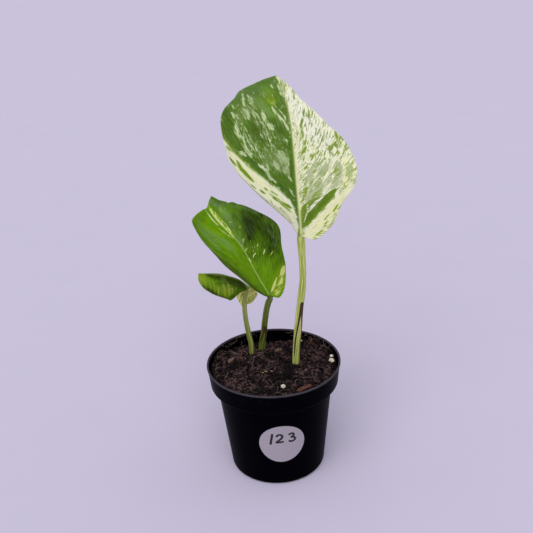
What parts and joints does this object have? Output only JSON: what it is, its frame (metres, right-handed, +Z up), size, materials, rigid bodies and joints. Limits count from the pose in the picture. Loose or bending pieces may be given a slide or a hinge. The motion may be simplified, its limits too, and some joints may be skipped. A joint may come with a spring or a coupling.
{
  "type": "potted marble queen pothos",
  "caption": "Young variegated pothos with upright heart-shaped leaves on grooved stalks, rooted in dark soil in a round black nursery pot with a white round label.",
  "frame": {"origin": "middle of the pot's flat underside", "axes": "+Z up along the pot's axis; -Y is the front, where the label is; +X is to the right seen from the front"},
  "size_m": [0.1077, 0.1201, 0.2538],
  "materials": {
    "black_plastic": "satin",
    "paper": "matte",
    "peat": "matte",
    "stem_green": "matte",
    "petiole_green": "satin",
    "marbled_leaf": "satin",
    "green_leaf": "satin",
    "dark_leaf": "satin",
    "perlite": "matte",
    "bark": "matte",
    "pale_wood": "matte"
  },
  "bodies": {
    "root": {"pot": "black_plastic", "label": "paper", "soil": "peat", "stem_front": "stem_green", "stem_back": "stem_green", "petiole_large": "petiole_green", "petiole_medium": "petiole_green", "petiole_small": "petiole_green", "blade_large": "marbled_leaf", "blade_medium": "green_leaf", "blade_small": "dark_leaf", "perlite_1": "perlite", "perlite_2": "perlite", "perlite_3": "perlite", "perlite_4": "perlite", "bark_1": "bark", "bark_2": "bark", "bark_3": "bark", "bark_4": "bark", "splinter": "pale_wood"}
  },
  "joints": []
}
